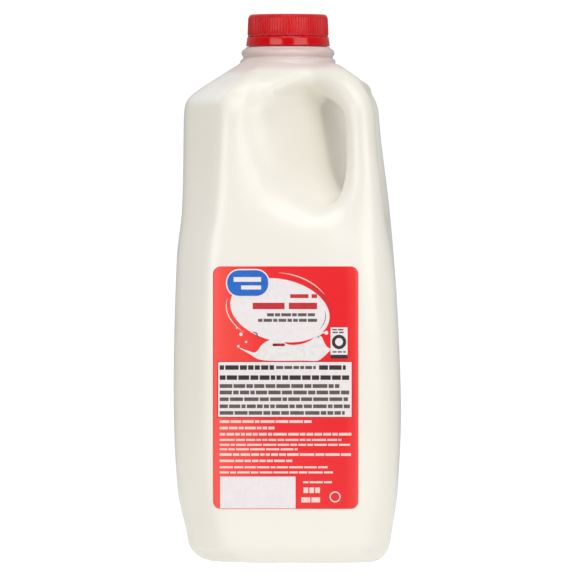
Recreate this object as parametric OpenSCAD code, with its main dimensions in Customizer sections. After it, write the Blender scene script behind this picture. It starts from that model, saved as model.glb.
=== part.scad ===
// Half gallon plastic milk jug: a blown bottle with a hollow grip at one corner, its milk,
// a screw cap with its tamper band, and a front label.
// Millimetres. Z is up, the origin is on the neck's axis at the standing surface.
// The front face looks along -Y. The grip is at the corner between the front and right faces,
// and the jug is the same on both sides of the upright plane through the grip and the axis.

/* [Body widths] */
// Axis to the front and right faces just above the heel
near_heel = 48.3; // [40:0.1:56]
// Axis to the front and right faces between the heel and the belly
near_shin = 51.1; // [42:0.1:58]
// Axis to the front and right faces at the belly
near_belly = 52.9; // [44:0.1:62]
// Axis to the front and right faces at the waist, level with the grip's foot
near_waist = 48.7; // [40:0.1:56]
// Axis to the front and right faces under the shoulder
near_top = 42.9; // [36:0.1:50]
// How much the front and right faces draw in again above that height
crown_in = 3.5; // [0:0.1:6]
// Axis to the left and back faces just above the heel
far_heel = 47.2; // [40:0.1:56]
// Axis to the left and back faces between the heel and the belly
far_shin = 51.2; // [42:0.1:58]
// Axis to the left and back faces at the belly
far_belly = 53.2; // [44:0.1:62]
// Axis to the left and back faces at the top of the lower body
far_waist = 51.8; // [42:0.1:60]
// Axis to the left and back faces under the shoulder
far_top = 48.6; // [40:0.1:56]

/* [Body heights] */
// Height of the widest part of the body
belly_z = 75; // [60:1:90]
// Height of the waist between the lower body and the upper body
waist_z = 152.5; // [128:0.5:183]
// Height at which the walls turn into the shoulder
shoulder_z = 209.5; // [198:0.5:216]
// Height of the shoulder's top, where the neck starts
neck_z = 232.8; // [228:0.1:280]

/* [Corners] */
// Width cut off the plain corners in the lower body, along each face
corner_low = 15.7; // [8:0.1:22]
// Width cut off the plain corners under the shoulder
corner_top = 19.5; // [10:0.1:26]
// Width cut off the grip's corner in the lower body
grip_corner_low = 10.7; // [6:0.1:18]
// Width cut off the grip's corner at and above the waist
grip_corner_top = 14.8; // [8:0.1:20]
// Width cut off the rear corner, opposite the grip
rear_corner = 16; // [8:0.1:24]

/* [Grip flanks] */
// Axis to the slanted panels beside the grip, level with the waist
flank_low = 52.4; // [46:0.1:58]
// The same at the foot of the gap
flank_gap = 49; // [43:0.1:54]
// The same under the shoulder
flank_top = 43.1; // [38:0.1:50]
// Angle between the front face and the slanted panel beside it
flank_turn = 14; // [8:1:20]

/* [Shoulder] */
// How far the front and right shoulder panels run out for each mm they fall
near_fall = 1.75; // [1.4:0.01:2.1]
// The same for the left and back shoulder panels
far_fall = 1.57; // [1.2:0.01:1.9]
// The same for the panels over the plain corners
corner_fall = 1.74; // [1.4:0.01:2]
// The same for the panel over the grip
grip_fall = 2.45; // [2:0.01:2.9]

/* [Base] */
// Height of the rounded heel
heel_h = 9.7; // [5:0.1:16]
// How far the heel comes in under the front and right faces
near_heel_in = 8.1; // [4:0.1:14]
// How far the heel comes in under the left and back faces
far_heel_in = 14.2; // [6:0.1:18]
// How far the side of the hollow runs in
hollow_run = 4; // [2:0.1:8]
// Width of the ring that the jug stands on
foot_w = 5; // [3:0.1:9]
// Height of the hollow under the base
base_hollow = 3.5; // [1:0.1:6]

/* [Grip] */
// Height of the lowest point of the grip's gap
gap_low_z = 166.7; // [160:0.1:178]
// Height of the highest point of the grip's gap
gap_high_z = 219; // [208:0.5:225]
// Axis to the wall behind the gap, along the diagonal, at half the gap's height
gap_wall = 25.6; // [18:0.1:30]
// How far that wall leans out for each mm down
gap_lean = 0.25; // [0:0.01:0.4]
// Thickness of the grip
grip_d = 13.2; // [9:0.1:18]
// Axis to the outside of the grip at its foot
grip_out_low = 57.3; // [50:0.1:64]
// Axis to the outside of the grip below its bend
grip_out_high = 54.1; // [46:0.1:60]
// Radius of the grip's bend, at the middle of the grip
grip_bend = 13; // [9:0.1:18]

/* [Neck] */
// How much wider than the cap the bead at the foot of the neck is
low_bead_more = 6.3; // [4:0.1:10]
// How much wider than the cap the groove above that bead is
groove_more = 3.9; // [2:0.1:8]
// How much wider than the cap the bead under the cap is
high_bead_more = 5.5; // [3:0.1:9]
// How much wider than the cap the throat under it is
throat_more = 1.2; // [0.6:0.1:3]
// Height of the two beads and the throat together
beads_h = 7.7; // [6:0.1:10]

/* [Walls] */
// Wall of the bottle
wall = 0.6; // [0.5:0.05:1.2]
// Wall of the neck inside the cap
neck_wall = 1.4; // [1:0.1:2.4]

/* [Milk] */
// Height of the milk's surface
milk_z = 214; // [200:0.5:226]

/* [Cap] */
// Diameter over the cap's ribs
cap_d = 38; // [32:0.1:46]
// Height of the cap above the split line
cap_h = 10.4; // [8:0.1:16]
// Thickness of the cap's top and skirt
cap_wall = 1; // [0.8:0.1:1.6]
// Radius of the cap's top edge
cap_edge = 2; // [1:0.1:3]
// Number of ribs round the cap
rib_count = 90; // [60:2:150]
// Height of a rib above the skirt
rib_h = 0.35; // [0.2:0.05:0.6]
// Gap between the cap's skirt and the neck
cap_gap = 0.25; // [0.1:0.05:0.5]

/* [Tamper band] */
// How much wider than the cap the band's lower edge is
band_more = 1.2; // [0.6:0.1:2]
// Height of the band
band_h = 4.1; // [3:0.1:6]
// Thickness of the band
band_wall = 0.9; // [0.7:0.1:1.4]
// Open slit between the band and the cap
split_gap = 0.4; // [0.2:0.05:0.8]
// Number of bridges across the slit
bridge_count = 10; // [6:1:16]
// Width of a bridge
bridge_w = 1.2; // [0.6:0.1:2]
// Gap between the band and the throat under it
band_gap = 0.3; // [0.2:0.05:0.6]

/* [Label] */
// Width of the label
label_w = 67.9; // [40:0.1:70]
// Height of the label
label_h = 113.3; // [80:0.1:120]
// Height of the label's lower edge
label_z = 24.6; // [18:0.1:40]
// Distance from the neck's axis to the label's middle, to the left
label_left = 1.1; // [0:0.05:3]
// Radius of the label's corners
label_corner = 3.5; // [1:0.1:8]
// Thickness of the label
label_t = 0.2; // [0.1:0.05:0.5]

/* [Hidden] */
$fn = 96;

// Points round the body, round the grip and round the gap
around = 40;
grip_sides = 16;
gap_sides = 24;
// How tightly the body's edges and the shoulder's edge are rounded: higher is tighter
edge_power = 34;
shoulder_power = 16;
neck_power = 14;
// How square the gap's outline is
gap_power = 4;

// Directions of the faces and of the corners between them
right_dir = 0;
rear_right_dir = 45;
back_dir = 90;
rear_dir = 135;
left_dir = 180;
front_left_dir = 225;
front_dir = 270;
grip_dir = 315;
front_flank_dir = front_dir + flank_turn;
right_flank_dir = 360 - flank_turn;

// Heights that follow from the ones above
band_z = neck_z + beads_h + band_gap;
cap_z = band_z + band_h + split_gap;
jug_h = cap_z + cap_h;
rim_z = jug_h - cap_wall;

// Radii that the neck and the cap share
skirt_r = cap_d / 2 - rib_h;
cap_bore_r = skirt_r - cap_wall;
finish_r = cap_bore_r - cap_gap;

// Radii of the neck and the band, which follow the cap
low_bead_r = (cap_d + low_bead_more) / 2;
groove_r = (cap_d + groove_more) / 2;
high_bead_r = (cap_d + high_bead_more) / 2;
throat_r = (cap_d + throat_more) / 2;
band_r = (cap_d + band_more) / 2;

// How much the body draws in under the height where the straight heel ends
heel_draw = 2.2;
heel_draw_z = 14;
// Height of the widths between the heel and the belly
shin_z = 33;
// Height over which the front and right faces draw in at the top
crown_h = 9.5;
// Heights round the waist where the sides begin and end their change
waist_start = waist_z - 11;
waist_end = waist_z + 12;
grip_corner_start = waist_z - 18;
flank_start = waist_z - 25;
// How far outside the belly the flank lies where it starts, and the swell above the far waist
flank_hidden = 8;
far_swell = 0.8;
// How much further out the shoulder's corner panels start than its faces do
flank_shoulder_out = 1.2;
corner_shoulder_out = 2.6;
grip_shoulder_out = 3.6;
// Least distance from the axis to a shoulder panel, so that it never crosses the axis
least_reach = 5;
// How far the base's inner rings come out again for each millimetre of inset
base_inset_share = 2.8;
// Rounding of the beads' rings, and how much the neck's foot is drawn in
bead_round = 0.3;
bead_slope = 0.6;
foot_draw = 0.5;
// Smallest step between two rings
least_step = 0.01;
// Height under the shoulder's edge where the rings come closer together
shoulder_run = 4;
// Length of the grip's end inside the shoulder, and how far its foot reaches under the waist
grip_tail = 12;
grip_foot = 8;
// Depth of the grooves' clearance in the band, the band's lower rim and its draft
band_clear = 0.3;
band_rim = 0.8;
band_draft = 0.4;
// Size of the bridges between the band and the cap
bridge_depth = 0.7;
bridge_in = 0.15;
bridge_root = 0.2;
// Height of the cap's ribs over its lower edge, and what they stop short of under its top
rib_start = 0.4;
rib_short = 0.6;
// How far the grooves between the ribs stand out from the skirt
rib_root = 0.06;

// ---- Curves ----

// Index of the stretch of knots that holds x
function stretch_at(knots, x, i = 0) =
    i >= len(knots) - 2 || x < knots[i + 1][0] ? i : stretch_at(knots, x, i + 1);

// Slope of the line between two knots
function slope(a, b) = (b[1] - a[1]) / (b[0] - a[0]);

// Smooth curve through knots [x, value], held level beyond the ends
function curve(knots, x) =
    let (i = stretch_at(knots, x))
    let (a = knots[i], b = knots[i + 1])
    let (before = knots[max(i - 1, 0)], after = knots[min(i + 2, len(knots) - 1)])
    let (h = b[0] - a[0], u = min(max((x - a[0]) / h, 0), 1))
    a[1] * (1 - 3 * u * u + 2 * u * u * u) + b[1] * (3 * u * u - 2 * u * u * u)
    + h * slope(before, b) * (u - 2 * u * u + u * u * u)
    + h * slope(a, after) * (u * u * u - u * u);

// The smaller of two distances, with a rounded change from one to the other
function soft_min(a, b, power) = pow(pow(a, -power) + pow(b, -power), -1 / power);

// The larger of two distances, with a rounded change from one to the other
function soft_max(a, b, power) = pow(pow(a, power) + pow(b, power), 1 / power);

// ---- Body ----

// How far the heel has come in at a height, for a heel of a given width
function heel_in(width, z) =
    let (u = max(1 - z / heel_h, 0))
    width * (1 - sqrt(max(1 - u * u, 0)));

// Axis to the front and right faces at a height
function near_face(z) =
    curve([[0, near_heel - heel_draw], [heel_draw_z, near_heel], [shin_z, near_shin],
           [belly_z, near_belly],
           [waist_z, near_waist], [shoulder_z, near_top],
           [shoulder_z + crown_h / 2, near_top - crown_in / 3],
           [shoulder_z + crown_h, near_top - crown_in]], z);

// Axis to the left and back faces at a height
function far_face(z) =
    curve([[0, far_heel - heel_draw], [heel_draw_z, far_heel], [shin_z, far_shin],
           [belly_z, far_belly],
           [waist_start, far_waist], [waist_end, far_top + far_swell], [shoulder_z, far_top]], z);

// Widths cut off the corners at a height
function plain_cut(z) = curve([[waist_start, corner_low], [shoulder_z, corner_top]], z);
function grip_cut(z) = curve([[grip_corner_start, grip_corner_low], [waist_z, grip_corner_top]], z);

// Axis to the slanted panels beside the grip at a height
function flank(z) =
    curve([[flank_start, near_belly + flank_hidden], [waist_z, flank_low], [gap_low_z, flank_gap],
           [shoulder_z, flank_top], [shoulder_z + crown_h, flank_top - crown_in]], z);

// Axis to a shoulder panel at a height, and how far it moves in when the wall is taken off it
function roof(start, fall, z, inset) = start + fall * (neck_z - z) - inset * sqrt(1 + fall * fall);

// Axis to one side of the body, wall or shoulder panel, whichever is nearer
function side(wall_at, roof_at, inset) =
    let (inner_wall = wall_at - inset)
    roof_at < least_reach ? least_reach : soft_min(inner_wall, roof_at, shoulder_power);

// Directions and distances of the body's ten sides at a height
function sides(z, inset) =
    let (near = near_face(z), far = far_face(z))
    let (near_in = near - heel_in(near_heel_in, z), far_in = far - heel_in(far_heel_in, z))
    let (start = low_bead_r)
    let (flank_side = side(flank(z) - heel_in(near_heel_in, z),
                           roof(start + flank_shoulder_out, grip_fall, z, inset), inset))
    let (near_side = side(near_in, roof(start, near_fall, z, inset), inset))
    let (far_side = side(far_in, roof(start, far_fall, z, inset), inset))
    let (plain = side((near_in + far_in - plain_cut(z)) / sqrt(2),
                      roof(start + corner_shoulder_out, corner_fall, z, inset), inset))
    [[right_dir, near_side],
     [rear_right_dir, plain],
     [back_dir, far_side],
     [rear_dir, side((2 * far_in - rear_corner) / sqrt(2),
                     roof(start + corner_shoulder_out, corner_fall, z, inset), inset)],
     [left_dir, far_side],
     [front_left_dir, plain],
     [front_dir, near_side],
     [front_flank_dir, flank_side],
     [right_flank_dir, flank_side],
     [grip_dir, side((2 * near_in - grip_cut(z)) / sqrt(2),
                     roof(start + grip_shoulder_out, grip_fall, z, inset), inset)]];

// Axis to the body's surface in one direction, with the edges between the sides rounded
function body_r(angle, side_list) =
    pow(vsum([for (s = side_list) pow(max(cos(angle - s[0]), 0) / s[1], edge_power)]),
        -1 / edge_power);

// Sum of a list of numbers
function vsum(list, i = 0) = i < len(list) ? list[i] + vsum(list, i + 1) : 0;

// Height and radius of each ring round the outside of the neck, up to the rim
function neck_outside(moved_out) = [
    [neck_z, low_bead_r - bead_round + moved_out],
    [neck_z + beads_h * 0.13, low_bead_r + moved_out],
    [neck_z + beads_h * 0.23, low_bead_r - bead_round + moved_out],
    [neck_z + beads_h * 0.32, groove_r + moved_out],
    [neck_z + beads_h * 0.42, high_bead_r - bead_round + moved_out],
    [neck_z + beads_h * 0.6, high_bead_r + moved_out],
    [neck_z + beads_h * 0.78, high_bead_r - bead_slope + moved_out],
    [neck_z + beads_h * 0.9, throat_r + moved_out],
    [neck_z + beads_h, throat_r + moved_out],
    [neck_z + beads_h + least_step, finish_r + moved_out],
    [rim_z, finish_r + moved_out]];

// The same for the bore, which runs out past the rim
function neck_inside(inset) = [
    [neck_z, groove_r - inset - foot_draw],
    [neck_z + beads_h * 0.5, groove_r - inset - foot_draw],
    [neck_z + beads_h, finish_r - neck_wall],
    [rim_z + 1, finish_r - neck_wall]];

// Heights of the body's rings above the heel
body_heights = concat(
    [for (i = [0 : 11]) heel_h + (shoulder_z - shoulder_run - heel_h) * i / 11],
    [for (i = [1 : 6]) shoulder_z - shoulder_run + (neck_z - shoulder_z + shoulder_run - 1) * i / 6]);

// Heights of the heel's rings, closer together near the floor
heel_heights = [for (i = [0 : 4]) heel_h * (1 - cos(90 * i / 5))];

// One ring of points round the axis, each pulled in from the surface by pull_in
function ring(z, lift, inset, pull_in) =
    let (side_list = sides(z, inset))
    [for (i = [0 : around - 1])
        let (angle = 360 * i / around, r = body_r(angle, side_list) - pull_in)
        [r * cos(angle), r * sin(angle), z + lift]];

// One ring round the neck, blended into the shoulder under it
function neck_ring(z, radius, inset) =
    let (side_list = sides(z, inset))
    [for (i = [0 : around - 1])
        let (angle = 360 * i / around)
        let (r = z > neck_z + beads_h * 0.5 ? radius
                 : soft_max(body_r(angle, side_list), radius, neck_power) - foot_draw)
        [r * cos(angle), r * sin(angle), z]];

// All rings from the middle of the base to the top
function body_rings(inset) = concat(
    [ring(0, inset + base_hollow, inset, foot_w + hollow_run - base_inset_share * inset)],
    [ring(0, inset, inset, foot_w - base_inset_share * inset)],
    [for (z = heel_heights) ring(z, inset * (1 - z / heel_h), inset, 0)],
    [for (z = body_heights) ring(z, 0, inset, 0)],
    [for (n = inset > 0 ? neck_inside(inset) : neck_outside(-inset))
        neck_ring(n[0], n[1], inset)]);

// A closed skin over rings of equal length, with a point closing each end
module skin(rings, low_end, high_end) {
    n = len(rings[0]);
    rows = len(rings);
    points = concat([low_end], [for (r = rings) each r], [high_end]);
    last = len(points) - 1;
    faces = concat(
        [for (i = [0 : n - 1]) [0, 1 + i, 1 + (i + 1) % n]],
        [for (k = [0 : rows - 2], i = [0 : n - 1])
            let (a = 1 + k * n, j = (i + 1) % n) [a + i, a + n + i, a + n + j]],
        [for (k = [0 : rows - 2], i = [0 : n - 1])
            let (a = 1 + k * n, j = (i + 1) % n) [a + i, a + n + j, a + j]],
        [for (i = [0 : n - 1]) let (a = 1 + (rows - 1) * n) [last, a + (i + 1) % n, a + i]]);
    polyhedron(points, faces);
}

// The jug's body and neck as a solid, its surface moved in by inset
module body_solid(inset) {
    rings = body_rings(inset);
    skin(rings, [0, 0, inset + base_hollow + 1], [0, 0, rings[len(rings) - 1][0][2]]);
}

// ---- Grip ----

// A point from its distance out along the grip's diagonal, its place across it and its height
function on_diagonal(out, across, z) =
    [(out + across) / sqrt(2), (across - out) / sqrt(2), z];

// The middle of the gap, and half its reach, which passes outside the corner
gap_mid_z = (gap_high_z + gap_low_z) / 2;
gap_reach = 36;
// Half the length of the gap's solid across the diagonal
gap_across = 60;
// How much wider and lower the mouth is at 50 mm from the diagonal plane
mouth_widen = 4;
mouth_drop = 24;
mouth_dip = 5;

// One outline of the gap, across is its distance from the diagonal plane
function gap_outline(across, grow) = [
    for (i = [0 : gap_sides - 1])
        let (angle = -360 * i / gap_sides, c = cos(angle), s = sin(angle))
        let (k = pow(pow(abs(c), gap_power) + pow(abs(s), gap_power), -1 / gap_power))
        let (away = abs(across) / 50)
        let (high = gap_high_z - mouth_drop * away * away + grow)
        let (low = gap_low_z - mouth_dip * away - grow)
        let (z = (high + low) / 2 + (high - low) / 2 * k * s)
        let (out = gap_wall + gap_reach + (gap_reach + grow) * k * c
                   - gap_lean * (z - gap_mid_z) - mouth_widen * away * away * away)
        on_diagonal(out, across, z)];

// The space that is taken out of the corner for the hand, grown by the wall for the milk
module gap_solid(grow) {
    steps = 8;
    rings = [for (i = [0 : steps]) gap_outline(gap_across * (2 * i / steps - 1), grow)];
    skin(rings, on_diagonal(gap_wall + gap_reach, -gap_across, gap_mid_z),
         on_diagonal(gap_wall + gap_reach, gap_across, gap_mid_z));
}

// Middle line of the grip in the diagonal plane: [out, height, direction of travel]
bend_start_z = gap_high_z - grip_bend + 1;
bend_turn = 65;
grip_foot_z = waist_z - grip_foot;
grip_lean = atan2(grip_out_low - grip_out_high, bend_start_z - waist_z);
bend_start = grip_out_high - grip_d / 2;
bend_centre = [bend_start - grip_bend * cos(grip_lean), bend_start_z - grip_bend * sin(grip_lean)];
grip_line = concat(
    [for (i = [0 : 5])
        let (z = grip_foot_z + (bend_start_z - grip_foot_z) * i / 6)
        [bend_start + (bend_start_z - z) * tan(grip_lean), z, grip_lean]],
    [for (i = [0 : 4])
        let (turn = grip_lean + (bend_turn - grip_lean) * i / 4)
        [bend_centre[0] + grip_bend * cos(turn), bend_centre[1] + grip_bend * sin(turn), turn]],
    [let (end = [bend_centre[0] + grip_bend * cos(bend_turn) - grip_tail * sin(bend_turn),
                 bend_centre[1] + grip_bend * sin(bend_turn) + grip_tail * cos(bend_turn)])
        [end[0], end[1], bend_turn]]);

// The hollow grip's outer or inner solid
module grip_solid(inset) {
    r = grip_d / 2 - inset;
    rings = [for (p = grip_line)
        [for (i = [0 : grip_sides - 1])
            let (angle = 360 * i / grip_sides, out = r * cos(angle))
            on_diagonal(p[0] + out * cos(p[2]), r * sin(angle), p[1] + out * sin(p[2]))]];
    first = grip_line[0];
    last = grip_line[len(grip_line) - 1];
    skin(rings, on_diagonal(first[0], 0, first[1]), on_diagonal(last[0], 0, last[1]));
}

// ---- Pieces ----

// Outside of the bottle, or the space in it when inset is the wall
module jug_form(inset) {
    difference() {
        body_solid(inset);
        gap_solid(inset);
    }
    grip_solid(inset);
}

// Gives its children as one mesh at their own size
module one_mesh() {
    resize([0, 0, 0]) children();
}

module bottle() {
    color("#eae7dc") one_mesh() difference() {
        jug_form(0);
        jug_form(wall);
    }
}

module milk() {
    color("#f5f2ea") one_mesh() intersection() {
        jug_form(wall);
        translate([-100, -100, 0]) cube([200, 200, milk_z]);
    }
}

// Outline of the cap's ribs as seen from above
module rib_outline(outer, inner) {
    step = 360 / rib_count;
    difference() {
        polygon([for (i = [0 : 2 * rib_count - 1])
            let (r = i % 2 == 0 ? outer : inner, angle = step * i / 2)
            [r * cos(angle), r * sin(angle)]]);
        circle(r = cap_bore_r);
    }
}

// Half section of the cap's top and plain skirt
module cap_section() {
    polygon(concat(
        [[0, cap_h - cap_wall], [cap_bore_r, cap_h - cap_wall], [cap_bore_r, 0], [skirt_r, 0]],
        [for (i = [0 : 6])
            let (angle = 90 * i / 6)
            [skirt_r - cap_edge + cap_edge * cos(angle), cap_h - cap_edge + cap_edge * sin(angle)]],
        [[0, cap_h]]));
}

module cap() {
    color("#d00b1a") translate([0, 0, cap_z]) {
        rotate_extrude() cap_section();
        translate([0, 0, rib_start]) linear_extrude(height = cap_h - cap_edge - rib_short)
            rib_outline(cap_d / 2, skirt_r + rib_root);
    }
}

module tamper_band() {
    bore_r = band_r - band_wall - band_clear;
    color("#cd000b") translate([0, 0, band_z]) {
        rotate_extrude() polygon([
            [bore_r, 0], [band_r, 0], [band_r, band_rim],
            [band_r - band_draft, band_h], [bore_r, band_h]]);
        for (i = [0 : bridge_count - 1])
            rotate(360 * i / bridge_count)
                translate([cap_bore_r + bridge_in, -bridge_w / 2, band_h - bridge_root])
                    cube([bridge_depth, bridge_w, split_gap + bridge_root]);
    }
}

// The label's outline, standing in front of the body
module label_outline() {
    corner = min(label_corner, label_w / 3, label_h / 3);
    translate([-label_left, 0, label_z + label_h / 2]) rotate([90, 0, 0])
        linear_extrude(height = 200) hull()
            for (x = [-1, 1], y = [-1, 1])
                translate([x * (label_w / 2 - corner), y * (label_h / 2 - corner)])
                    circle(r = corner, $fn = 32);
}

module label() {
    color("#ef2a31") one_mesh() intersection() {
        difference() {
            body_solid(-label_t);
            body_solid(0);
        }
        label_outline();
    }
}

bottle();
milk();
cap();
tamper_band();
label();
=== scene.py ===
import math
import random

import bmesh
import bpy
import numpy as np
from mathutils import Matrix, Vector


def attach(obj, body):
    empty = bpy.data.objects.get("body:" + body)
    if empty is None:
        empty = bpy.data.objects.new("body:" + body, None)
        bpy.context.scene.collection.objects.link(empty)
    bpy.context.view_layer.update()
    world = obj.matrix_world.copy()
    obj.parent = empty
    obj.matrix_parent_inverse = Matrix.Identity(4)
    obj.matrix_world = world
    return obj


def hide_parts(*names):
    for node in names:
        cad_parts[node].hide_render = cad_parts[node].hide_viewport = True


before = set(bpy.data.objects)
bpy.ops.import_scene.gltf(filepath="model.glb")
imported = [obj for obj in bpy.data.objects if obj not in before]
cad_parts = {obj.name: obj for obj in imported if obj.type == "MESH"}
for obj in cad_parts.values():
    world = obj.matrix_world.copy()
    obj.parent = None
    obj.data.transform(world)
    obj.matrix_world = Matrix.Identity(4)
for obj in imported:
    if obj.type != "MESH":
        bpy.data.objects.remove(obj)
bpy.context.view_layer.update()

MM = 0.001
ROOT2 = math.sqrt(2)

# ---- Sizes of the jug in millimetres, from the middle of its base ----

WALL = 0.6
NECK_Z = 232.8
SHOULDER_Z = 209.5
WAIST_Z = 152.5
HEEL_H = 9.7
BEADS_H = 7.7
NECK_R = 22.15
# Where the skin of the body ends and the plain finish inside the cap begins
CUT_Z = NECK_Z + BEADS_H - 0.3
FILL_Z = 214.0
# The milk reaches this far into the wall, so that no gap shows
MILK_IN_WALL = 0.15

# How tight the upright edges between the sides of the body are
EDGE_TIGHT = 34
# How far the base is lifted under its plain corners, where that starts and over what width
LIFT_H, LIFT_FROM, LIFT_OVER = 5.4, 42.5, 8.0

# Gap for the hand: wall behind it, its reach, its lean, its lower and upper ends, and how much
# further up it goes in the diagonal plane
GAP_WALL, GAP_REACH, GAP_LEAN = 25.6, 36.0, 0.25
GAP_LOW, GAP_HIGH, GAP_RISE = 166.7, 219.0, 8.0
# The bow that ends it beside the grip: middle and half width outwards, middle and half height
BOW_OUT, BOW_REACH, BOW_Z, BOW_H = 14.0, 35.2, 192.5, 37.0

# Grip: its diameter, how far out its outer side is, low and high, and the radius of its bend
GRIP_D, GRIP_LOW, GRIP_HIGH, GRIP_BEND = 13.2, 57.3, 54.1, 13.0

# Cap and tamper band
BAND_Z, BAND_H = 240.8, 4.33
CAP_Z, CAP_H, CAP_R = 245.3, 10.4, 19.0
RIBS, RIB_H = 90, 0.3
BRIDGES, BRIDGE_W, FIRST_BRIDGE = 10, 1.2, 10

# Label: middle, half width, lower and upper edge, corner radius, thickness
LABEL_X, LABEL_HALF, LABEL_LOW, LABEL_TOP = -1.1, 33.95, 24.6, 137.9
LABEL_CORNER, LABEL_T = 3.5, 0.2
# The label is laid out full size and then drawn in a little about this height
LABEL_SHARE, LABEL_MID = 0.9915, 127.8
# How far the inks stand over the lowest one, so that each is clear of what it is printed on:
# the second and third layer, and the blue field's edge, the field itself and its bars
SECOND, THIRD, FIELD_EDGE, FIELD, FIELD_BARS = 0.03, 0.06, 0.05, 0.08, 0.11


# ---- Curves and distances ----

def curve(knots, x):
    """Smooth curve through knots, held level beyond its ends."""
    at, value = np.array(knots, float).T
    i = np.clip(np.searchsorted(at, x, side="right") - 1, 0, len(at) - 2)
    before, after = np.maximum(i - 1, 0), np.minimum(i + 2, len(at) - 1)
    h = at[i + 1] - at[i]
    u = np.clip((x - at[i]) / h, 0, 1)
    leave = (value[i + 1] - value[before]) / (at[i + 1] - at[before])
    arrive = (value[after] - value[i]) / (at[after] - at[i])
    rise = u * u * (3 - 2 * u)
    return (value[i] * (1 - rise) + value[i + 1] * rise
            + h * leave * u * (1 - u) ** 2 - h * arrive * u * u * (1 - u))


def soft_min(a, b, k):
    """The smaller of two distances, rounded over k where they cross."""
    h = np.maximum(k - np.abs(a - b), 0) / k
    return np.minimum(a, b) - h * h * k / 4


def soft_max(a, b, k):
    """The larger of two distances, rounded over k where they cross."""
    return -soft_min(-a, -b, k)


def ease(x):
    """0 below 0, 1 above 1, and smooth between."""
    x = np.clip(x, 0, 1)
    return x * x * (3 - 2 * x)


def heel_in(width, z):
    """How far the heel has come in at a height."""
    u = np.clip(1 - z / HEEL_H, 0, 1)
    return width * (1 - np.sqrt(np.maximum(1 - u * u, 0)))


def body_radius(angle, z):
    """Axis to the body's surface in a direction: ten sides, each a wall under a shoulder panel."""
    near = curve([[0, 46.1], [14, 48.3], [33, 51.0], [75, 52.72], [WAIST_Z, 48.7],
                  [SHOULDER_Z, 42.9], [SHOULDER_Z + 4.75, 41.73], [SHOULDER_Z + 9.5, 39.4]], z)
    far = curve([[0, 45.0], [14, 47.2], [33, 51.2], [75, 53.2], [141.5, 51.8], [164.5, 49.4],
                 [SHOULDER_Z, 48.6]], z)
    plain_cut = curve([[141.5, 15.7], [SHOULDER_Z, 19.5]], z)
    grip_cut = curve([[134.5, 10.7], [WAIST_Z, 14.8]], z)
    flank = curve([[127.5, 60.9], [WAIST_Z, 52.4], [GAP_LOW, 49.0], [SHOULDER_Z, 43.1],
                   [SHOULDER_Z + 9.5, 39.6]], z)
    near_heel, far_heel = heel_in(8.1, z), heel_in(14.2, z)
    near, far, flank = near - near_heel, far - far_heel, flank - near_heel

    def side(wall, start, fall, tight=16):
        """A wall that gives way to a shoulder panel, which falls from the neck."""
        roof = np.maximum(NECK_R + start + fall * (NECK_Z - z), 5)
        return (wall ** -tight + roof ** -tight) ** (-1 / tight)

    near_side, far_side = side(near, -2.6, 2.12), side(far, 0, 1.57)
    plain = side((near + far - plain_cut) / ROOT2, 2.6, 1.74)
    flank_side = side(flank, 1.2, 2.45)
    sides = [(0, near_side), (45, plain), (90, far_side),
             (135, side((2 * far - 16) / ROOT2, 2.6, 1.74)), (180, far_side), (225, plain),
             (270, side(near, 1.5, 1.85, 5)), (284, flank_side), (346, flank_side),
             (315, side((2 * near - grip_cut) / ROOT2, 3.6, 2.45))]
    total = 0
    for direction, reach in sides:
        toward = np.maximum(np.cos(angle - math.radians(direction)), 0)
        total = total + (toward / reach) ** EDGE_TIGHT
    return total ** (-1 / EDGE_TIGHT)


def body_distance(x, y, z):
    """Distance from the body's surface, negative inside."""
    r, angle = np.hypot(x, y), np.arctan2(y, x)
    here = body_radius(angle, z)
    small_turn, small_rise = 0.004, 0.1
    turn = (body_radius(angle + small_turn, z) - here) / small_turn / np.maximum(here, 5)
    rise = (body_radius(angle, z + small_rise) - here) / small_rise
    return (r - here) / np.sqrt(1 + turn * turn + rise * rise)


def gap_distance(out, across, z):
    """Distance from the space for the hand, negative inside it."""
    away = np.abs(across) / 50
    high = GAP_HIGH + GAP_RISE - 24 * away ** 2
    low = GAP_LOW - 5 * away
    middle, half = (high + low) / 2, (high - low) / 2
    crest = 2.6 * (1 - np.exp(-np.sqrt(np.square(across) + 0.6) / 7))
    wall = GAP_WALL - GAP_LEAN * (z - (GAP_HIGH + GAP_LOW) / 2) - crest
    u, v = np.abs(out - wall - GAP_REACH) / GAP_REACH, np.abs(z - middle) / half
    q = (u ** 4 + v ** 4) ** 0.25 + 1e-9
    steep = np.hypot((u / q) ** 3 / GAP_REACH, (v / q) ** 3 / half)
    cut = (q - 1) / np.maximum(steep, 0.015)
    # Its outer end, beside the grip, is bowed like a D
    bow = np.hypot((out - BOW_OUT) / BOW_REACH, (z - BOW_Z) / BOW_H)
    return soft_max(cut, (bow - 1) * BOW_REACH, 3)


def grip_path():
    """Middle line of the grip in the diagonal plane: up, round the bend and into the shoulder."""
    top = GAP_HIGH - GRIP_BEND + 1
    lean = math.atan2(GRIP_LOW - GRIP_HIGH, top - WAIST_Z)
    start = GRIP_HIGH - GRIP_D / 2
    foot = WAIST_Z - 8
    line = [(start + (top - z) * math.tan(lean), z) for z in np.linspace(foot, top, 4)]
    middle = (start - GRIP_BEND * math.cos(lean), top - GRIP_BEND * math.sin(lean))
    end = math.radians(65)
    line += [(middle[0] + GRIP_BEND * math.cos(t), middle[1] + GRIP_BEND * math.sin(t))
             for t in np.linspace(lean, end, 9)[1:]]
    line.append((line[-1][0] - 12 * math.sin(end), line[-1][1] + 12 * math.cos(end)))
    return line


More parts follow.
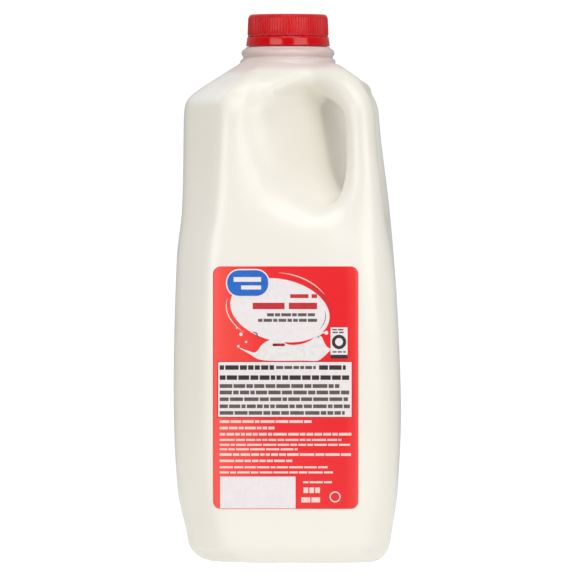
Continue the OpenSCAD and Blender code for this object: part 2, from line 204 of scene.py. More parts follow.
def grip_distance(out, across, z):
    """Distance from the grip, a round bar along its path."""
    best = 1e9
    line = grip_path()
    for (o0, z0), (o1, z1) in zip(line, line[1:]):
        do, dz = o1 - o0, z1 - z0
        t = np.clip(((out - o0) * do + (z - z0) * dz) / (do * do + dz * dz), 0, 1)
        best = np.minimum(best, np.square(out - o0 - t * do) + np.square(z - z0 - t * dz))
    return np.sqrt(best + across * across) - GRIP_D / 2


# The two beads under the cap: height above the neck's foot, and radius
BEADS = [[-3, 21.2], [-0.8, 21.7], [0.4, 22.2], [1.5, 22.1], [2.4, 20.95], [3.0, 20.95],
         [4.0, 21.6], [4.9, 21.75], [5.8, 21.45], [6.7, 20.4], [7.2, 19.7], [7.5, 19.6]]
NECK = [[NECK_Z + up, r] for up, r in BEADS]


def neck_distance(x, y, z):
    """Distance from the neck with its beads."""
    here = curve(NECK, z)
    rise = (curve(NECK, z + 0.05) - here) / 0.05
    return np.maximum((np.hypot(x, y) - here) / np.sqrt(1 + rise * rise), NECK_Z - 8 - z)


def jug_distance(x, y, z):
    """Distance from the outside of the whole jug, negative inside."""
    out, across = (x - y) / ROOT2, (x + y) / ROOT2
    f = body_distance(x, y, z)
    # A shallow dish on the front and right faces, where the fingers go in
    for side, face in ((x, -y), (-y, x)):
        reach = np.hypot((side - 12) / 35, (z - 207) / 41)
        f = f + 1.3 * ease((1 - reach) / 0.22) * ease((face - 20) / 12)
    f = soft_max(f, -gap_distance(out, across, z), 15)
    f = soft_min(f, grip_distance(out, across, z), 10)
    f = soft_min(f, neck_distance(x, y, z), 1.2)
    # The base is lifted under the three plain corners
    lift = LIFT_H * ease((np.maximum(np.abs(across), -out) - LIFT_FROM) / LIFT_OVER)
    f = soft_max(f, (lift - z) * 0.75, 1.2)
    # The underside is hollow, so that the jug stands on the rim of its base
    hollow = np.maximum((np.hypot(x, y) - body_radius(np.arctan2(y, x), 0 * z) + 5 + 1.15 * z)
                        * 0.66, z - 3.5)
    return soft_max(np.maximum(f, -z), -hollow, 1.0)


# ---- Meshes ----

def gradient(f, p, step=0.05):
    """Slope of a distance at points p, and its value there."""
    here = f(*p)
    slopes = []
    for axis in range(3):
        moved = p.copy()
        moved[axis] += step
        slopes.append((f(*moved) - here) / step)
    return np.array(slopes), here


def skin_over(f, xs, ys, zs):
    """Points and four-sided faces over the surface where f is 0: one point for each cell that it
    crosses, then three rounds of smoothing, each drawn back onto the surface."""
    X, Y, Z = np.meshgrid(xs, ys, zs, indexing="ij")
    F = f(X.ravel(), Y.ravel(), Z.ravel()).reshape(X.shape)
    inside = F < 0
    n = np.array(F.shape)
    total, count = np.zeros((*(n - 1), 3)), np.zeros(n - 1)
    corners = [(a, b, c) for a in (0, 1) for b in (0, 1) for c in (0, 1)]
    for a in corners:
        for axis in range(3):
            if a[axis]:
                continue
            b = tuple(a[k] + (k == axis) for k in range(3))
            cut_a, cut_b = (tuple(slice(c[k], n[k] - 1 + c[k]) for k in range(3)) for c in (a, b))
            crossed = inside[cut_a] != inside[cut_b]
            t = np.where(crossed, F[cut_a] / np.where(crossed, F[cut_a] - F[cut_b], 1), 0)
            for k, grid in enumerate((X, Y, Z)):
                total[..., k] += np.where(crossed, grid[cut_a] * (1 - t) + grid[cut_b] * t, 0)
            count += crossed
    used = count > 0
    index = np.full(n - 1, -1)
    index[used] = np.arange(used.sum())
    points = (total[used] / count[used][:, None]).T
    faces = []
    for axis in range(3):
        u, v = (axis + 1) % 3, (axis + 2) % 3
        low, high = [slice(None)] * 3, [slice(None)] * 3
        low[axis], high[axis] = slice(0, n[axis] - 1), slice(1, n[axis])
        crossed = inside[tuple(low)] != inside[tuple(high)]
        where = np.argwhere(crossed)
        where = where[(where[:, u] > 0) & (where[:, v] > 0)
                      & (where[:, u] < n[u] - 1) & (where[:, v] < n[v] - 1)]
        around = []
        for du, dv in ((-1, -1), (0, -1), (0, 0), (-1, 0)):
            cell = where.copy()
            cell[:, u] += du
            cell[:, v] += dv
            around.append(index[tuple(cell.T)])
        quads = np.array(around).T
        flip = ~inside[tuple(low)][tuple(where.T)]
        quads[flip] = quads[flip][:, ::-1]
        faces.append(quads)
    faces = np.concatenate(faces)
    neighbours = np.concatenate([faces[:, [k, (k + 1) % 4]] for k in range(4)])
    for turn in range(7):
        if turn in (0, 2, 4):
            mean, amount = np.zeros_like(points), np.zeros(points.shape[1])
            for a, b in ((0, 1), (1, 0)):
                np.add.at(mean.T, neighbours[:, a], points.T[neighbours[:, b]])
                np.add.at(amount, neighbours[:, a], 1)
            open_rim = points[2] > zs[-1] - 1.2
            points = np.where(open_rim, points, 0.5 * points + 0.5 * mean / np.maximum(amount, 1))
        slopes, here = gradient(f, points)
        steep = np.maximum((slopes ** 2).sum(0), 0.05)
        points = points - np.clip(here / steep, -1, 1) * slopes
    return points.T, faces


def mesh_object(name, points, faces, smooth=True):
    """A new object from points in millimetres."""
    mesh = bpy.data.meshes.new(name)
    mesh.from_pydata([tuple(p) for p in np.asarray(points) * MM], [],
                     [tuple(int(i) for i in f) for f in faces])
    mesh.polygons.foreach_set("use_smooth", [smooth] * len(mesh.polygons))
    mesh.validate()
    mesh.update()
    obj = bpy.data.objects.new(name, mesh)
    bpy.context.scene.collection.objects.link(obj)
    return obj


def cut_above(points, faces, z):
    """Cuts a skin level at z and drops what is above; also gives the ring of points at the cut."""
    bm = bmesh.new()
    made = [bm.verts.new(p) for p in points]
    for f in faces:
        bm.faces.new([made[i] for i in f])
    bmesh.ops.bisect_plane(bm, geom=bm.verts[:] + bm.edges[:] + bm.faces[:], dist=1e-5,
                           plane_co=(0, 0, z), plane_no=(0, 0, 1), clear_outer=True)
    loose = [v for v in bm.verts if not v.link_faces]
    bmesh.ops.delete(bm, geom=loose, context="VERTS")
    bm.normal_update()
    bm.verts.index_update()
    edges = [e for e in bm.edges if e.is_boundary]
    beside = {}
    for e in edges:
        a, b = (v.index for v in e.verts)
        beside.setdefault(a, []).append(b)
        beside.setdefault(b, []).append(a)
    rings = []
    while beside:
        ring = [next(iter(beside))]
        while True:
            following = [i for i in beside.pop(ring[-1]) if i in beside]
            if not following:
                break
            ring.append(following[0])
        rings.append(ring)
    P = np.array([v.co[:] for v in bm.verts])
    N = np.array([v.normal[:] for v in bm.verts])
    F = [[v.index for v in f.verts] for f in bm.faces]
    bm.free()
    return P, N, F, rings


def revolve(name, profile, steps, rib=0.0, closed=True):
    """A turned piece: profile is a list of (radius, height, share of the ribs). It is a closed
    loop, or else its first and last rings are filled."""
    angle = np.arange(steps) * 2 * math.pi / steps
    # Flat-topped ribs with narrower grooves between them
    wave = ease((0.1 - 0.5 * np.cos(RIBS * angle)) / 0.4)
    points = []
    for r, z, share in profile:
        radius = r - rib * share * wave
        points.append(np.array([radius * np.cos(angle), radius * np.sin(angle),
                                np.full(steps, z)]).T)
    rows = len(profile)
    faces = []
    for k in range(rows if closed else rows - 1):
        a, b = k * steps, ((k + 1) % rows) * steps
        for i in range(steps):
            j = (i + 1) % steps
            faces.append((a + i, a + j, b + j, b + i))
    points = np.concatenate(points)
    if not closed:
        for row, order in ((0, -1), (rows - 1, 1)):
            faces.append(tuple(row * steps + i for i in range(steps))[::order])
    return mesh_object(name, points, faces)


# ---- Materials ----

def colour(hex_code):
    """An sRGB hex colour as linear RGBA."""
    parts = [int(hex_code[i:i + 2], 16) / 255 for i in (1, 3, 5)]
    return (*[c / 12.92 if c <= 0.04045 else ((c + 0.055) / 1.055) ** 2.4 for c in parts], 1)


def node(tree, kind, settings=None, links=None):
    """Adds a node: settings are attributes or input values, links are inputs fed by other sockets."""
    made = tree.nodes.new(kind)
    for key, value in (settings or {}).items():
        if isinstance(key, str) and hasattr(made, key):
            setattr(made, key, value)
        else:
            made.inputs[key].default_value = value
    for key, socket in (links or {}).items():
        tree.links.new(socket, made.inputs[key])
    return made


def material(name, **settings):
    """A new material, its tree and its surface shader."""
    mat = bpy.data.materials.new(name)
    mat.use_nodes = True
    shader = mat.node_tree.nodes["Principled BSDF"]
    for key, value in settings.items():
        shader.inputs[key.replace("_", " ")].default_value = value
    return mat, mat.node_tree, shader


def position(tree):
    """Where a point is on the object, in millimetres: its vector, and its x, y and z."""
    place = node(tree, "ShaderNodeTexCoord").outputs["Object"]
    scaled = node(tree, "ShaderNodeVectorMath", {"operation": "SCALE", "Scale": 1000.0},
                  {0: place}).outputs[0]
    return scaled, node(tree, "ShaderNodeSeparateXYZ", {}, {0: scaled}).outputs


def ramp(tree, value, stops):
    """A colour ramp over stops of (value, hex colour), in the value's own units."""
    low, high = stops[0][0], stops[-1][0]
    share = node(tree, "ShaderNodeMapRange", {"From Min": low, "From Max": high}, {0: value})
    made = node(tree, "ShaderNodeValToRGB", {}, {0: share.outputs[0]})
    made.color_ramp.interpolation = "EASE"
    elements = made.color_ramp.elements
    while len(elements) < len(stops):
        elements.new(0.5)
    for element, (at, hex_code) in zip(elements, stops):
        element.position = (at - low) / (high - low)
        element.color = colour(hex_code)
    return made.outputs[0]


def bumped(tree, shader, place, size, depth, detail=2.0):
    """Fine unevenness of a moulded or printed surface: size and depth in millimetres."""
    noise = node(tree, "ShaderNodeTexNoise", {"Scale": 1 / size, "Detail": detail},
                 {"Vector": place})
    uneven = node(tree, "ShaderNodeBump", {"Strength": 1.0, "Distance": depth * MM},
                  {"Height": noise.outputs[0]})
    tree.links.new(uneven.outputs[0], shader.inputs["Normal"])


def moulded_polythene():
    """Natural high-density polythene, blow moulded: a milky, faintly waxy white that takes its tone
    from the milk behind it and is greyer where it stands empty, with a painted pink glow and shade
    towards the neck for the red cap's light."""
    mat, tree, shader = material("blow_moulded_polythene", Roughness=0.38, IOR=1.54,
                                 Subsurface_Weight=0.12, Subsurface_Scale=0.004,
                                 Coat_Weight=0.35, Coat_Roughness=0.14)
    shader.inputs["Subsurface Radius"].default_value = (1.0, 0.85, 0.6)
    place, (x, y, z) = position(tree)
    wavy = node(tree, "ShaderNodeTexNoise", {"Scale": 0.07, "Detail": 3.0}, {"Vector": place})
    # The film that the milk leaves climbs towards the neck on the front and stays low elsewhere
    toward = node(tree, "ShaderNodeMath", {"operation": "SUBTRACT"}, {0: x, 1: y})
    front = node(tree, "ShaderNodeMapRange", {"interpolation_type": "SMOOTHSTEP", "From Min": 5.0,
                                              "From Max": 12.0, "To Min": 0.0, "To Max": 16.0},
                 {0: toward.outputs[0]})
    wave = node(tree, "ShaderNodeMapRange", {"To Min": -4.0, "To Max": 4.0},
                {0: wavy.outputs[0]})
    edge = node(tree, "ShaderNodeMath", {"operation": "MULTIPLY_ADD", 1: 0.1},
                {0: wave.outputs[0], 2: front.outputs[0]})
    drop = node(tree, "ShaderNodeMath", {"operation": "SUBTRACT"}, {0: z, 1: edge.outputs[0]})
    filled = node(tree, "ShaderNodeMapRange", {"interpolation_type": "SMOOTHSTEP",
                                               "From Min": FILL_Z - 1.8, "From Max": FILL_Z + 1.8},
                  {0: drop.outputs[0]})
    # Empty plastic above the milk; the pink and darker tone towards the neck is painted light and
    # shade from the red cap
    empty = ramp(tree, z, [(214, "#faf7ef"), (226, "#f4eee6"), (231, "#e4d2cc"),
                           (241, "#dcc2bc")])
    milky = ramp(tree, z, [(0, "#f4efe2"), (60, "#f3eee0"), (150, "#f4efe3"), (215, "#f1ecde")])
    mixed = node(tree, "ShaderNodeMix", {"data_type": "RGBA"},
                 {0: filled.outputs[0], 6: milky, 7: empty})
    tree.links.new(mixed.outputs[2], shader.inputs["Base Color"])
    bumped(tree, shader, place, 5.0, 0.05)
    return mat


def fresh_milk():
    """Whole milk: dense, warm white, with light spreading a little way under the surface."""
    mat, tree, shader = material("whole_milk", Roughness=0.12, IOR=1.35, Subsurface_Weight=0.3,
                                 Subsurface_Scale=0.003)
    z = position(tree)[1]["Z"]
    tree.links.new(ramp(tree, z, [(0, "#f6f1e4"), (FILL_Z, "#f8f4ea")]),
                   shader.inputs["Base Color"])
    return mat


def moulded_polypropylene(name, rough):
    """Red polypropylene, injection moulded: a strong, slightly soft-edged shine over deep red."""
    mat, tree, shader = material(name, Roughness=rough, IOR=1.49, Specular_IOR_Level=0.45)
    place = position(tree)[0]
    clouds = node(tree, "ShaderNodeTexNoise", {"Scale": 0.25, "Detail": 2.0}, {"Vector": place})
    tree.links.new(ramp(tree, clouds.outputs[0], [(0.3, "#cb010c"), (0.7, "#d40311")]),
                   shader.inputs["Base Color"])
    bumped(tree, shader, place, 2.0, 0.02)
    return mat


def printed_film():
    """Glossy label film, printed red: the red is paler towards the left and at the edges."""
    mat, tree, shader = material("printed_label_film", Roughness=0.34, IOR=1.5)
    place, axes = position(tree)
    tree.links.new(ramp(tree, axes["X"], [(-35, "#f4524a"), (-24, "#f0433c"), (-6, "#ea2329"),
                                  (26, "#e8181f"), (30, "#ec2b2e"), (33, "#f04c46")]),
                   shader.inputs["Base Color"])
    bumped(tree, shader, place, 9.0, 0.04)
    return mat


def ink(name, low, high):
    """Printing ink on the label: even, with the faint mottle of flexographic print."""
    mat, tree, shader = material(name, Roughness=0.4, IOR=1.5)
    place = position(tree)[0]
    mottle = node(tree, "ShaderNodeTexNoise", {"Scale": 0.5, "Detail": 2.0}, {"Vector": place})
    tree.links.new(ramp(tree, mottle.outputs[0], [(0.3, low), (0.7, high)]),
                   shader.inputs["Base Color"])
    return mat


# ---- Bottle and milk ----

def make_bottle_and_milk():
    """The bottle with its wall, and the milk inside it."""
    # Cells are finer at the heel and finest round the neck and its beads
    cell = 1.75
    heel_cell, neck_cell = 0.8, 0.55
    past_sides, past_heel = 56.0, 14
    across = np.arange(-past_sides, past_sides + cell, cell)
    heights = np.concatenate([np.arange(-1.3, past_heel, heel_cell),
                              np.arange(past_heel, NECK_Z - 10, cell),
                              np.arange(NECK_Z - 9.5, CUT_Z + 2, neck_cell)])
    points, faces = skin_over(jug_distance, across, across, heights)
    P, N, F, rings = cut_above(points, faces, CUT_Z)
    ring = max(rings, key=len)
    # Inner face of the wall, then the plain finish under the cap that joins the two at the rim
    inner = P - N * WALL
    inner[ring, 2] = CUT_Z
    count = len(P)
    parts, shell = [P, inner], list(F) + [[i + count for i in f[::-1]] for f in F]
    angle = np.arctan2(P[ring, 1], P[ring, 0])
    order = 1 if ((np.diff(angle) + math.pi) % (2 * math.pi) - math.pi).mean() > 0 else -1
    ring, angle = ring[::order], angle[::order]
    profile = [(19.3, CUT_Z + 0.25), (17.6, CUT_Z + 0.35), (17.4, CUT_Z + 0.8), (17.4, 254.2),
               (17.0, 254.65), (16.4, 254.65), (16.0, 254.2), (16.0, CUT_Z + 1.6),
               (18.6, CUT_Z + 0.1)]
    loops, start = [ring], 2 * count
    for r, z in profile:
        parts.append(np.array([r * np.cos(angle), r * np.sin(angle),
                               np.full(len(ring), z)]).T)
        loops.append(list(range(start, start + len(ring))))
        start += len(ring)
    loops.append([i + count for i in ring])
    for low, high in zip(loops, loops[1:]):
        for i in range(len(ring)):
            j = (i + 1) % len(ring)
            shell.append([low[i], low[j], high[j], high[i]])
    bottle = mesh_object("bottle_shell", np.concatenate(parts), shell)

    milk_p, _, milk_f, milk_rings = cut_above(P - N * (WALL - MILK_IN_WALL), F, FILL_Z)
    # The milk's surface, in the body and in the hollow grip
    for r in (r for r in milk_rings if len(r) > 8):
        middle = milk_p[r].mean(0)
        turn = np.arctan2(milk_p[r, 1] - middle[1], milk_p[r, 0] - middle[0])
        step = ((np.diff(turn) + math.pi) % (2 * math.pi) - math.pi).sum()
        milk_f.append(r if step > 0 else r[::-1])
    milk = mesh_object("milk_fill", milk_p, milk_f)
    return bottle, milk


# ---- Cap and band ----

def make_cap():
    """The screw cap: ribbed skirt, rounded edge, and a crown sunk a little inside its rim."""
    z, r = CAP_Z, CAP_R
    top = z + CAP_H
    outside = [(r - 0.75, z, 0), (r - 0.35, z + 0.12, 0), (r - 0.25, z + 0.5, 0.2),
               (r - 0.05, z + 0.9, 1), (r - 0.08, z + 2.5, 1), (r - 0.2, z + 5.5, 1),
               (r - 0.36, z + 8.3, 1), (r - 0.5, z + 8.8, 0.7), (r - 0.72, z + 9.25, 0.2)]
    edge = [(r - 2.2 + 1.45 * math.cos(t), top - 1.32 + 1.27 * math.sin(t), 0)
            for t in np.linspace(0.12, math.pi / 2, 6)]
    crown = [(r - 4.0, top - 0.06, 0), (r - 4.6, top - 0.3, 0), (r - 6, top - 0.4, 0),
             (6, top - 0.4, 0), (0.6, top - 0.4, 0)]
    under = [(0.6, top - 1.5, 0), (r - 3, top - 1.5, 0), (r - 1.5, top - 2.2, 0),
             (r - 1.4, z + 0.4, 0), (r - 1.2, z, 0)]
    return revolve("ribbed_cap", under + outside + edge + crown, 10 * RIBS, RIB_H, closed=False)


def make_band():
    """The tamper band, and the bridges that hold it to the cap."""
    z, top, r = BAND_Z, BAND_Z + BAND_H, CAP_R
    profile = [(r - 0.3, z + 0.1, 0), (r + 0.3, z, 0), (r + 0.55, z + 0.15, 0),
               (r + 0.58, z + 0.5, 0), (r + 0.35, z + 2.2, 0), (r + 0.12, z + 3.7, 0),
               (r + 0.02, top - 0.1, 0), (r - 0.2, top, 0), (r - 0.75, top, 0),
               (r - 0.85, top - 0.2, 0), (r - 0.55, z + 1.6, 0)]
    band = revolve("tamper_band_ring", profile, 288)
    points, faces = [], []
    for k in range(BRIDGES):
        middle = math.radians(360 / BRIDGES * k + FIRST_BRIDGE)
        start = len(points)
        for zz in (top - 0.25, CAP_Z + 0.25):
            for rr in (r - 0.7, r - 0.15):
                for turn in (-BRIDGE_W / 2, BRIDGE_W / 2):
                    a = middle + turn / r
                    points.append((rr * math.cos(a), rr * math.sin(a), zz))
        for f in ((0, 2, 3, 1), (4, 5, 7, 6), (0, 1, 5, 4), (2, 6, 7, 3), (0, 4, 6, 2),
                  (1, 3, 7, 5)):
            faces.append([start + i for i in f])
    bridges = mesh_object("tamper_bridges", points, faces, smooth=False)
    return band, bridges


# ---- Label ----

def front_y(x, z):
    """Y of the front face at given places, found by halving."""
    out, within = np.full(np.shape(x), -62.0), np.full(np.shape(x), -30.0)
    for _ in range(40):
        middle = (out + within) / 2
        outside = np.hypot(x, middle) > body_radius(np.arctan2(middle, x), z)
        out, within = np.where(outside, middle, out), np.where(outside, within, middle)
    return (out + within) / 2


def sheet_on_front(grids, low, high):
    """Thin closed patches on the front face: each grid is (x, z, extra lift) in millimetres."""
    points, faces = [], []
    start = 0
    for X, Z, lift in grids:
        X, Z = X * LABEL_SHARE, LABEL_MID + (Z - LABEL_MID) * LABEL_SHARE
        n, m = X.shape
        surface = front_y(X.ravel(), Z.ravel())
        for h in (high + lift, low):
            points.append(np.array([X.ravel(), surface - h, Z.ravel()]).T)
        lower = n * m

        def number(i, j, back):
            """Which point a place in the grid is, on the front or on the back."""
            return start + (lower if back else 0) + i * m + j

        for i in range(n - 1):
            for j in range(m - 1):
                quad = [(i, j), (i + 1, j), (i + 1, j + 1), (i, j + 1)]
                faces.append([number(a, b, False) for a, b in quad])
                faces.append([number(a, b, True) for a, b in quad[::-1]])
        rim = ([(i, 0) for i in range(n)] + [(n - 1, j) for j in range(1, m)]
               + [(i, m - 1) for i in range(n - 2, -1, -1)]
               + [(0, j) for j in range(m - 2, 0, -1)])
        for (a, b), (c, d) in zip(rim, rim[1:] + rim[:1]):
            faces.append([number(c, d, False), number(a, b, False), number(a, b, True),
                          number(c, d, True)])
        start += 2 * lower
    return np.concatenate(points), faces


def block(x0, x1, z0, z1, lift=0.0):
    """A plain bar, in steps fine enough to follow the face."""
    step = 1.3
    n = max(2, int((x1 - x0) / step) + 1)
    m = max(2, int((z1 - z0) / step) + 1)
    X, Z = np.meshgrid(np.linspace(x0, x1, n), np.linspace(z0, z1, m), indexing="ij")
    return X, Z, lift


def oval(x, z, a, b, tilt=0.0, lift=0.0, n=33):
    """An ellipse, tilted by tilt degrees."""
    u, v = np.meshgrid(np.linspace(-1, 1, n), np.linspace(-1, 1, n), indexing="ij")
    U, V = a * u * np.sqrt(1 - v * v / 2), b * v * np.sqrt(1 - u * u / 2)
    c, s = math.cos(math.radians(tilt)), math.sin(math.radians(tilt))
    return x + U * c - V * s, z + U * s + V * c, lift


def rounded(x0, x1, z0, z1, r, lift=0.0, n=24):
    """A rectangle with rounded corners."""
    middle, half = (x0 + x1) / 2, (x1 - x0) / 2
    bend = r * (1 - np.cos(np.linspace(0, math.pi / 2, 7)))
    rows = np.concatenate([z0 + bend[:-1], np.linspace(z0 + r, z1 - r, n), z1 - bend[::-1][1:]])
    past = np.maximum(np.maximum(z0 + r - rows, rows - z1 + r), 0)
    wide = half - r + np.sqrt(np.maximum(r * r - past * past, 0))
    U, Z = np.meshgrid(np.linspace(-1, 1, n), rows, indexing="ij")
    return middle + U * wide[None, :], Z, lift


def ribbon(points, widths, lift=0.0):
    """A curved stroke of changing width along points."""
    P = np.array(points, float)
    t = np.gradient(P, axis=0)
    t /= np.linalg.norm(t, axis=1)[:, None]
    side = np.array([-t[:, 1], t[:, 0]]).T * np.array(widths)[:, None] / 2
    low, high = P - side, P + side
    return np.array([high[:, 0], low[:, 0]]).T, np.array([high[:, 1], low[:, 1]]).T, lift


def between(xs, low, high, lift=0.0, m=5):
    """A field between a lower and an upper curve."""
    share = np.linspace(0, 1, m)[None, :]
    X = np.repeat(np.array(xs, float)[:, None], m, 1)
    Z = np.array(low)[:, None] * (1 - share) + np.array(high)[:, None] * share
    return X, Z, lift


def worded(rng, x0, x1, z0, z1, lift=0.0, longest=7.0):
    """A row of plain bars in place of a line of small print."""
    shortest, space, least = 1.8, 0.55, 0.8
    bars, x = [], x0
    while x < x1 - least:
        end = min(x + rng.uniform(shortest, longest), x1)
        bars.append(block(x, end, z0, z1, lift))
        x = end + space
    return bars


def ellipse_arc(x, z, a, b, tilt, start, end, n=40):
    """Points along part of a tilted ellipse, with its angles in degrees."""
    c, s = math.cos(math.radians(tilt)), math.sin(math.radians(tilt))
    return [(x + a * math.cos(t) * c - b * math.sin(t) * s,
             z + a * math.cos(t) * s + b * math.sin(t) * c)
            for t in np.radians(np.linspace(start, end, n))]


def plain_ring(x, z, r, width, lift=0.0, n=41):
    """A ring, as one stroke whose ends meet."""
    return ribbon(ellipse_arc(x, z, r, r, 0, 0, 360, n), [width] * n, lift)


def make_label():
    """The label film and its print, which has one piece for each ink."""
    film = rounded(LABEL_X - LABEL_HALF, LABEL_X + LABEL_HALF, LABEL_LOW, LABEL_TOP,
                   LABEL_CORNER, 0.0, 66)
    label = mesh_object("label_film", *sheet_on_front([film], -0.05, LABEL_T))
    rng = random.Random(7)
    white, dark, deep, pale, blue, grey, milky = ([] for _ in range(7))

    # Large oval with a darker and a paler stroke round it
    white.append(oval(-3.8, 117.4, 23.5, 14.5, -12))
    taper = np.sin(np.linspace(0, math.pi, 40))
    deep.append(ribbon(ellipse_arc(-1.9, 118.2, 23.2, 15.0, -16, 14, 76), 0.1 + 0.9 * taper))
    grey.append(ribbon(ellipse_arc(-4.2, 117.6, 22.0, 13.6, -12, -22, 18), 0.05 + 0.3 * taper,
                       SECOND))
    pale.append(ribbon(ellipse_arc(-2.2, 118.6, 22.8, 15.9, -13, 40, 105), 0.05 + 0.5 * taper))
    pale.append(ribbon(ellipse_arc(-4.4, 116.2, 24.8, 14.9, -12, 172, 236), 0.05 + 0.5 * taper))
    # Plain bars in place of the name and its small print
    for x0, x1, z0, z1 in ((1.0, 9.6, 123.1, 124.9), (11.0, 13.6, 123.1, 124.9),
                           (-16.5, -1.6, 117.9, 120.9), (0.4, 13.6, 117.9, 120.9)):
        deep.append(block(x0, x1, z0, z1, SECOND))
    for x0, z0 in ((-9.8, 114.6), (-14.0, 112.0)):
        grey.extend(worded(rng, x0, 13.6, z0, z0 + 1.4, SECOND, 6.0))
    # A plain blue field with a white edge and two bars at the upper left
    white.append(rounded(-29.0, -8.6, 123.5, 136.7, 6.2, FIELD_EDGE))
    blue.append(rounded(-28.4, -9.2, 124.1, 136.1, 5.6, FIELD))
    white.append(block(-25.4, -12.6, 130.7, 132.9, FIELD_BARS))
    white.append(block(-21.9, -12.6, 127.1, 129.0, FIELD_BARS))

    # Splash under the oval: a bowl of milk with two crests and a few drops
    xs = np.linspace(-22.5, 20.0, 44)
    crest = curve([[-22.5, 99.9], [-19, 98.6], [-15, 97.8], [-12, 101.5], [-8.5, 103.5],
                   [-4.5, 104.5], [-0.5, 101.6], [5, 101.4], [10, 103.0], [14, 105.6],
                   [16.2, 104.4], [17.5, 101.0], [20, 99.4]], xs)
    bottom = curve([[-22.5, 99.5], [-18, 97.0], [-14, 94.6], [-9, 93.9], [8, 93.9], [14, 93.9],
                    [17, 96.0], [20, 99.0]], xs)
    white.append(between(xs, bottom, crest, SECOND))
    inside = slice(4, -2)
    milky.append(between(xs[inside], bottom[inside] + 0.2, crest[inside] - 1.1, THIRD))
    white.append(ribbon([(13.2, 104.0), (14.4, 106.0), (16.0, 107.0), (17.6, 106.9)],
                        [1.6, 1.2, 0.8, 0.5], SECOND))
    for x, z, r in ((-22.0, 106.2, 0.8), (-19.6, 102.6, 0.55), (-23.9, 109.2, 0.4),
                    (-23.2, 100.6, 0.6), (17.9, 106.9, 0.9)):
        white.append(oval(x, z, r, r, 0, SECOND, 9))
    grey.append(ribbon([(-16.5, 107.4), (-14.6, 106.6), (-14.0, 104.9)], [0.3, 0.7, 0.3],
                       THIRD))
    for x0, x1, z0, z1 in ((-7.2, -1.4, 100.6, 101.9), (0.3, 3.6, 101.6, 102.0)):
        deep.append(rounded(x0, x1, z0, z1, min(0.55, (z1 - z0) / 2.2), THIRD, 8))

    # Small white box with a plain ring and a dark foot
    white.append(block(19.9, 27.8, 94.9, 109.4))
    dark.append(plain_ring(23.85, 102.6, 2.6, 1.5, SECOND))
    dark.append(block(19.9, 27.8, 94.9, 96.6, SECOND))
    for z0 in (97.6, 106.7, 108.0):
        grey.extend(worded(rng, 20.8, 27.0, z0, z0 + 0.7, SECOND, 2.5))

    # White panel with a thin dark border and rows of bars
    white.append(block(-33.0, 30.1, 67.2, 93.6))
    for x0, x1, z0, z1 in ((-33.0, 30.1, 93.2, 93.6), (-33.0, 30.1, 67.2, 67.6),
                           (-33.0, -32.6, 67.6, 93.2), (29.7, 30.1, 67.6, 93.2)):
        deep.append(block(x0, x1, z0, z1, SECOND))
    for z0, z1, end, ink_list in ((89.6, 91.7, -6.5, dark), (84.9, 87.0, 29.0, dark),
                                  (81.1, 82.9, 24.0, grey), (78.1, 79.9, 28.6, grey),
                                  (75.0, 76.7, 28.0, grey), (71.7, 73.4, 28.9, grey),
                                  (68.6, 70.3, 26.5, grey)):
        ink_list.extend(worded(rng, -31.9, end, z0, z1, SECOND))
    grey.extend(worded(rng, -5.6, 13.0, 89.9, 91.4, SECOND, 5.0))
    dark.extend(worded(rng, 14.5, 27.0, 89.6, 91.7, SECOND, 6.0))

    # Rows of pale bars on the red, a blank box, three short rows and a small plain ring
    for z0, z1, end in ((64.8, 66.0, 11.0), (61.8, 63.0, -6.0), (58.9, 60.1, 29.6),
                        (56.4, 57.3, 25.0), (54.1, 55.0, 29.0), (52.0, 52.9, 4.5),
                        (49.4, 50.6, 29.4), (46.5, 47.6, 2.0), (43.6, 44.5, 18.5),
                        (41.2, 42.1, 21.0)):
        pale.extend(worded(rng, -31.9, end, z0, z1))
    white.append(block(-31.7, 3.5, LABEL_LOW + 0.25, 39.7))
    for x0, x1, z0, z1 in ((7.2, 15.4, 32.0, 34.6), (6.2, 16.3, 27.6, 30.0)):
        pale.extend(worded(rng, x0, x1, z0, z1, 0.0, 4.5))
    pale.extend(worded(rng, 7.0, 20.5, 36.6, 37.5))
    pale.append(plain_ring(22.0, 30.2, 2.3, 0.6, 0.0, 31))

    made = [label]
    inks = (("label_white", white, "#e6dfdf", "#eae3e3"),
            ("label_black", dark, "#2a2224", "#332a2b"),
            ("label_deep_red", deep, "#bc242c", "#c62b33"),
            ("label_pale", pale, "#fbc9c0", "#fcd5cd"),
            ("label_blue", blue, "#1560bd", "#1d6bc6"),
            ("label_grey", grey, "#574c4d", "#625757"),
            ("label_milk_tone", milky, "#dfddda", "#e8e5e2"))
    for name, shapes, low, high in inks:
        piece = mesh_object(name, *sheet_on_front(shapes, LABEL_T - 0.05, LABEL_T + 0.05),
                            smooth=False)
        piece.data.materials.append(ink(name + "_ink", low, high))
        made.append(piece)
    label.data.materials.append(printed_film())
    return made


# ---- Building the model ----

bottle, milk = make_bottle_and_milk()
bottle.data.materials.append(moulded_polythene())
milk.data.materials.append(fresh_milk())
cap = make_cap()
cap.data.materials.append(moulded_polypropylene("moulded_cap_polypropylene", 0.26))
band, bridges = make_band()
band_finish = moulded_polypropylene("moulded_band_polypropylene", 0.15)
band.data.materials.append(band_finish)
bridges.data.materials.append(band_finish)
label_pieces = make_label()

for piece, stands_for, slot in ((bottle, "bottle", "bottle"), (milk, "milk", "milk"),
                                (cap, "cap", "cap"), (band, "tamper_band", "cap"),
                                (bridges, None, "cap"), (label_pieces[0], "label", "label"),
                                *[(p, None, "label") for p in label_pieces[1:]]):
    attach(piece, "root")
    if stands_for:
        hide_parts(stands_for)

# ---- Floor, light and camera ----

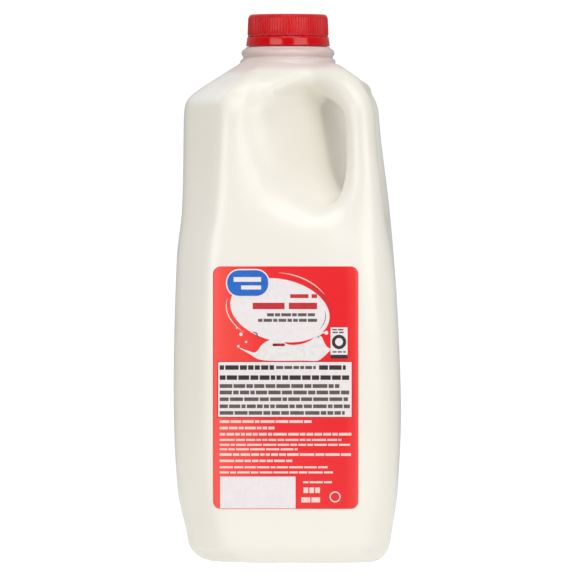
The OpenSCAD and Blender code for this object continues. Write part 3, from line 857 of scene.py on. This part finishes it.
FLOOR_STEPS, FLOOR_Z = 96, -0.02
floor_angle = np.linspace(0, 2 * math.pi, FLOOR_STEPS + 1)[:-1]
floor_points = [(r * math.cos(a), r * math.sin(a), FLOOR_Z)
                for r in (200, 500, 900) for a in floor_angle]
floor_faces = [tuple(range(FLOOR_STEPS))]
for ring_start in (0, FLOOR_STEPS):
    for i in range(FLOOR_STEPS):
        j = (i + 1) % FLOOR_STEPS
        floor_faces.append((ring_start + i, ring_start + FLOOR_STEPS + i,
                            ring_start + FLOOR_STEPS + j, ring_start + j))
floor = mesh_object("floor", floor_points, floor_faces)
floor_mat, floor_tree, floor_shader = material("white_board", Roughness=0.8)
floor_shader.inputs["Base Color"].default_value = colour("#a0a0a0")
floor_shader.inputs["Emission Color"].default_value = (1, 1, 1, 1)
# The floor looks white, but throws only part of that light up under the jug
floor_seen = node(floor_tree, "ShaderNodeLightPath")
floor_glow = node(floor_tree, "ShaderNodeMapRange", {"To Min": 0.64, "To Max": 0.8},
                  {0: floor_seen.outputs["Is Camera Ray"]})
floor_tree.links.new(floor_glow.outputs[0], floor_shader.inputs["Emission Strength"])
floor.data.materials.append(floor_mat)


MIDDLE = Vector((0, 0, 0.13))


def softbox(name, azimuth, height, distance, size, glow, tint=(1, 1, 1)):
    """A soft rectangular light aimed at the middle of the jug: glow is its own brightness."""
    light = bpy.data.lights.new(name, "AREA")
    light.shape = "RECTANGLE"
    light.size, light.size_y = size
    light.energy = glow * math.pi * size[0] * size[1]
    light.color = tint
    lamp = bpy.data.objects.new(name, light)
    a = math.radians(azimuth)
    lamp.location = (math.sin(a) * distance, -math.cos(a) * distance, height)
    aim = MIDDLE - lamp.location
    lamp.rotation_euler = aim.to_track_quat("-Z", "Y").to_euler()
    bpy.context.scene.collection.objects.link(lamp)


softbox("left_softbox", -34, 0.52, 1.5, (0.9, 0.5), 3.0)
softbox("right_softbox", 36, 0.52, 1.5, (1.05, 0.55), 2.8)
softbox("top_softbox", 10, 1.35, 1.05, (1.2, 1.0), 2.75)

# The room is dim in front of the jug and brighter behind and above it, and looks white
world = bpy.data.worlds.new("studio")
bpy.context.scene.world = world
world.use_nodes = True
world_tree = world.node_tree
world_seen = node(world_tree, "ShaderNodeLightPath")
facing = node(world_tree, "ShaderNodeSeparateXYZ", {},
              {0: node(world_tree, "ShaderNodeTexCoord").outputs["Generated"]})
walls = node(world_tree, "ShaderNodeMapRange", {"From Min": -0.5, "From Max": 0.5,
                                                "To Min": 0.08, "To Max": 0.36},
             {0: facing.outputs[1]})
ceiling = node(world_tree, "ShaderNodeMapRange", {"interpolation_type": "SMOOTHSTEP",
                                                  "From Min": 0.25, "From Max": 0.8,
                                                  "To Max": 0.45}, {0: facing.outputs[2]})
room = node(world_tree, "ShaderNodeMath", {"operation": "ADD"},
            {0: walls.outputs[0], 1: ceiling.outputs[0]})
strength = node(world_tree, "ShaderNodeMapRange", {"To Max": 1.05},
                {0: world_seen.outputs["Is Camera Ray"], "To Min": room.outputs[0]})
background = world_tree.nodes["Background"]
background.inputs["Color"].default_value = (1, 1, 1, 1)
world_tree.links.new(strength.outputs[0], background.inputs["Strength"])

# The camera stands far back with a long lens, level with the middle of the jug
DISTANCE, VIEW_WIDTH, CAMERA_Z, SENSOR = 5.6, 0.2693, 0.1278, 36
camera_data = bpy.data.cameras.new("camera")
camera = bpy.data.objects.new("camera", camera_data)
bpy.context.scene.collection.objects.link(camera)
camera_data.sensor_width = SENSOR
camera_data.lens = SENSOR * DISTANCE / VIEW_WIDTH
camera.location = (0, -DISTANCE, CAMERA_Z)
camera.rotation_euler = (math.pi / 2, 0, 0)
camera_data.clip_start, camera_data.clip_end = 0.05, 50
bpy.context.scene.camera = camera
bpy.context.scene.view_settings.view_transform = "Standard"
